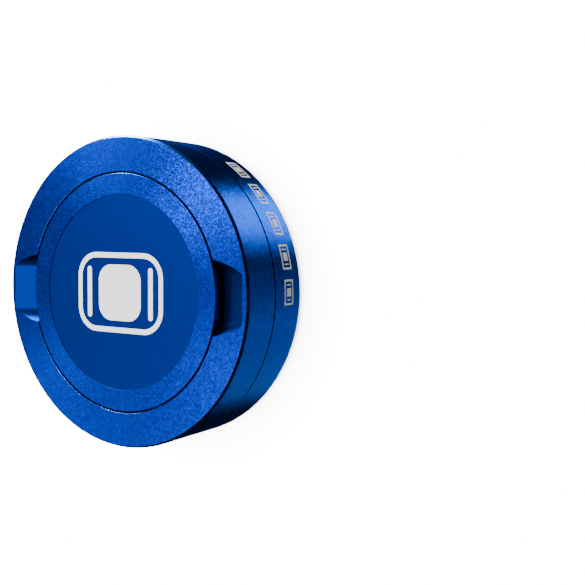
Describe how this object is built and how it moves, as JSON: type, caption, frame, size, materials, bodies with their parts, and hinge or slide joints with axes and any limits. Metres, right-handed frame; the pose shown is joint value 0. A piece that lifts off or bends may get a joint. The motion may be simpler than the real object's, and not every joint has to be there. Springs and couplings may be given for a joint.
{
  "type": "pocket pouch can",
  "caption": "Round flat aluminium pocket can with a lift-off lid, a mirror under the lid and a small waste compartment under its own flush cap.",
  "frame": {"origin": "centre of the flat underside that the closed can stands on", "axes": "+Z is the can's turning axis, up through the lid; the two finger notches of the lid lie at +X and -X"},
  "size_m": [0.07, 0.07, 0.0223],
  "materials": {
    "anodised_satin": "bead-blasted and blue anodised, satin",
    "anodised_cap": "bead-blasted and blue anodised, satin, with a finer matt middle",
    "silicone": "milky translucent silicone, satin",
    "mirror_glass": "polished",
    "tape": "matt"
  },
  "bodies": {
    "base": {"base_can": "anodised_satin"},
    "neck_band": {"neck_seal": "silicone"},
    "lid": {"lid_shell": "anodised_satin", "mirror": "mirror_glass", "mirror_adhesive": "tape"},
    "cap_ring": {"cap_seal": "silicone"},
    "cap": {"compartment_cap": "anodised_cap"}
  },
  "joints": [
    {"name": "lid_turn", "type": "hinge", "parent": "base", "child": "neck_band", "pos_m": [0, 0, 0.0156], "axis": [0, 0, 1], "continuous": true},
    {"name": "lid_lift", "type": "slide", "parent": "neck_band", "child": "lid", "axis": [0, 0, 1], "range_m": [0, 0.045]},
    {"name": "cap_lift", "type": "slide", "parent": "lid", "child": "cap_ring", "axis": [0, 0, 1], "range_m": [0, 0.03]},
    {"name": "cap_turn", "type": "hinge", "parent": "cap_ring", "child": "cap", "pos_m": [0, 0, 0.0187], "axis": [0, 0, 1], "continuous": true}
  ]
}
